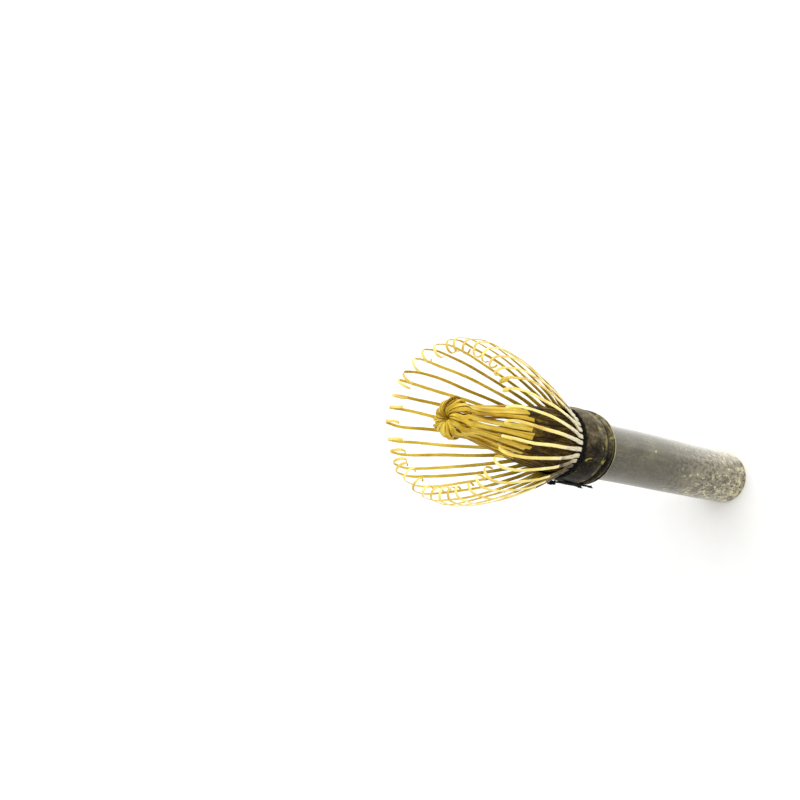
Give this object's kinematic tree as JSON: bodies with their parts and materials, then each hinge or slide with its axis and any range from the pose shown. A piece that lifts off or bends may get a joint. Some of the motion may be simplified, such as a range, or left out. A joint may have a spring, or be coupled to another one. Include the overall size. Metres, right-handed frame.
{
  "type": "bamboo tea whisk",
  "caption": "Long-handled bamboo tea whisk: hollow mottled culm handle with a node, a flaring cage of hooked outer tines, an inner spindle of tines and a black binding thread.",
  "frame": {"origin": "centre of the butt's end face, on which the whisk stands", "axes": "+Z along the handle from the butt to the tines; -X is the side where the thread is knotted"},
  "size_m": [0.0556, 0.0557, 0.1903],
  "materials": {
    "mottled_culm": "satin dark bamboo skin with pale flecks",
    "outer_tine_bamboo": "shaved pale bamboo, satin",
    "inner_tine_bamboo": "shaved golden bamboo, satin",
    "black_thread": "twisted black cotton thread"
  },
  "bodies": {
    "root": {"culm_handle": "mottled_culm", "outer_tine_01": "outer_tine_bamboo", "outer_tine_02": "outer_tine_bamboo", "outer_tine_03": "outer_tine_bamboo", "outer_tine_04": "outer_tine_bamboo", "outer_tine_05": "outer_tine_bamboo", "outer_tine_06": "outer_tine_bamboo", "outer_tine_07": "outer_tine_bamboo", "outer_tine_08": "outer_tine_bamboo", "outer_tine_09": "outer_tine_bamboo", "outer_tine_10": "outer_tine_bamboo", "outer_tine_11": "outer_tine_bamboo", "outer_tine_12": "outer_tine_bamboo", "outer_tine_13": "outer_tine_bamboo", "outer_tine_14": "outer_tine_bamboo", "outer_tine_15": "outer_tine_bamboo", "outer_tine_16": "outer_tine_bamboo", "outer_tine_17": "outer_tine_bamboo", "outer_tine_18": "outer_tine_bamboo", "outer_tine_19": "outer_tine_bamboo", "outer_tine_20": "outer_tine_bamboo", "outer_tine_21": "outer_tine_bamboo", "outer_tine_22": "outer_tine_bamboo", "outer_tine_23": "outer_tine_bamboo", "outer_tine_24": "outer_tine_bamboo", "outer_tine_25": "outer_tine_bamboo", "outer_tine_26": "outer_tine_bamboo", "outer_tine_27": "outer_tine_bamboo", "outer_tine_28": "outer_tine_bamboo", "outer_tine_29": "outer_tine_bamboo", "outer_tine_30": "outer_tine_bamboo", "outer_tine_31": "outer_tine_bamboo", "outer_tine_32": "outer_tine_bamboo", "outer_tine_33": "outer_tine_bamboo", "outer_tine_34": "outer_tine_bamboo", "outer_tine_35": "outer_tine_bamboo", "outer_tine_36": "outer_tine_bamboo", "inner_tine_pair_01": "inner_tine_bamboo", "inner_tine_pair_02": "inner_tine_bamboo", "inner_tine_pair_03": "inner_tine_bamboo", "inner_tine_pair_04": "inner_tine_bamboo", "inner_tine_pair_05": "inner_tine_bamboo", "inner_tine_pair_06": "inner_tine_bamboo", "inner_tine_pair_07": "inner_tine_bamboo", "inner_tine_pair_08": "inner_tine_bamboo", "inner_tine_pair_09": "inner_tine_bamboo", "inner_tine_pair_10": "inner_tine_bamboo", "inner_tine_pair_11": "inner_tine_bamboo", "inner_tine_pair_12": "inner_tine_bamboo", "inner_tine_pair_13": "inner_tine_bamboo", "inner_tine_pair_14": "inner_tine_bamboo", "inner_tine_pair_15": "inner_tine_bamboo", "inner_tine_pair_16": "inner_tine_bamboo", "inner_tine_pair_17": "inner_tine_bamboo", "inner_tine_pair_18": "inner_tine_bamboo", "thread_outer_pass": "black_thread", "thread_inner_pass": "black_thread", "thread_knot": "black_thread", "thread_tail_1": "black_thread", "thread_tail_2": "black_thread"}
  },
  "joints": []
}
